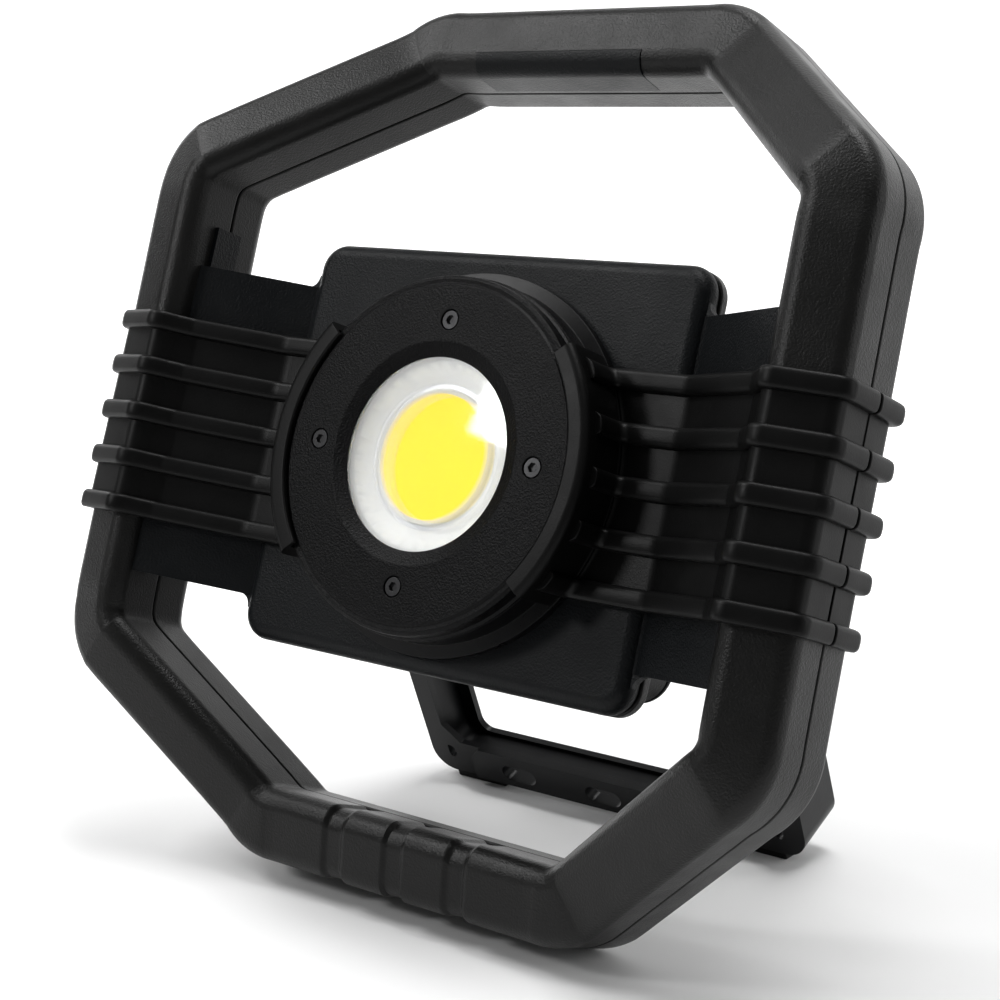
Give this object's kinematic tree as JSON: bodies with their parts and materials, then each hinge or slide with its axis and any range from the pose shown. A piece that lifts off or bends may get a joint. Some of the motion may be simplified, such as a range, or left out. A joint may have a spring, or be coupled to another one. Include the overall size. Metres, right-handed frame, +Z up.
{
  "type": "work light",
  "caption": "Battery work light: round lamp head in a bowed octagonal carrying frame with ribbed grips, leaning back on a folding rear stand.",
  "frame": {"origin": "middle of the footprint box, on the surface that the light stands on", "axes": "+Z up, +Y from the lamp's face towards its back (level), +X to the right seen from the front; the light leans back 20 degrees on its stand"},
  "size_m": [0.2766, 0.1536, 0.2781],
  "materials": {
    "black_plastic": "fine moulded texture, satin",
    "grained_plastic": "moulded grain, matt",
    "black_rubber": "satin rubber",
    "head_metal": "black coated die-cast aluminium, satin",
    "bezel_metal": "black coated die-cast aluminium, fine grain",
    "black_screw": "black oxide steel",
    "seal_rubber": "matt",
    "clear_lens": "clear",
    "white_reflector": "glossy white",
    "light_surface": "yellow phosphor in silicone",
    "white_ceramic": "white dam",
    "aluminium": "machined",
    "thermal_paste": "soft grey",
    "circuit_board": "green solder mask",
    "component_black": "moulded components",
    "cell_sleeve": "sleeved cells",
    "holder_plastic": "moulded",
    "nickel": "nickel strip",
    "steel": "plain steel",
    "button_rubber": "soft touch",
    "window_clear": "smoked clear",
    "led_white": "small charge lights",
    "lead_red": "silicone insulated wire",
    "stand_metal": "black coated die-cast aluminium",
    "washer_nylon": "nylon"
  },
  "bodies": {
    "light": {"frame_front_shell": "black_plastic", "frame_rear_shell": "black_plastic", "frame_screws": "black_screw", "top_grip_insert": "grained_plastic", "front_housing": "grained_plastic", "housing_seal": "seal_rubber", "rear_cover": "black_plastic", "cover_screws": "black_screw", "battery_box": "black_plastic", "battery_lid": "grained_plastic", "lid_screws": "black_screw", "head_barrel": "head_metal", "bezel_ring": "bezel_metal", "bezel_screws": "black_screw", "lens_seal": "seal_rubber", "lens": "clear_lens", "reflector": "white_reflector", "cob_board": "aluminium", "cob_light": "light_surface", "cob_dam": "white_ceramic", "cob_holder": "holder_plastic", "holder_screws": "steel", "thermal_pad": "thermal_paste", "heat_sink": "aluminium", "driver_board": "circuit_board", "driver_parts": "component_black", "board_posts": "steel", "battery_cells": "cell_sleeve", "cell_holder": "holder_plastic", "cell_strips": "nickel", "charge_board": "circuit_board", "power_switch": "component_black", "charge_window": "window_clear", "charge_leds": "led_white", "charge_socket": "steel", "port_hinge": "black_screw", "lamp_leads": "lead_red", "grip_right": "black_rubber", "grip_left": "black_rubber", "grip_rear_right": "black_rubber", "grip_rear_left": "black_rubber", "pivot_bolts": "black_screw", "pivot_washers": "washer_nylon"},
    "stand": {"stand_bracket": "stand_metal", "stand_pad_right": "black_rubber", "stand_pad_left": "black_rubber"},
    "power_button": {"power_button": "button_rubber"},
    "port_cover": {"port_cover": "button_rubber"}
  },
  "joints": [
    {"name": "stand_hinge", "type": "hinge", "parent": "light", "child": "stand", "pos_m": [0, 0.01267, 0.13706], "axis": [1, 0, 0], "range_deg": [-33, 128]},
    {"name": "power_button_press", "type": "slide", "parent": "light", "child": "power_button", "axis": [0, -0.9397, 0.342], "range_m": [0, 0.0006], "stiffness_N_per_m": 800, "springref_m": -0.0005},
    {"name": "port_cover_hinge", "type": "hinge", "parent": "light", "child": "port_cover", "pos_m": [0, 0.00579, 0.07838], "axis": [-1, 0, 0], "range_deg": [0, 150]}
  ]
}
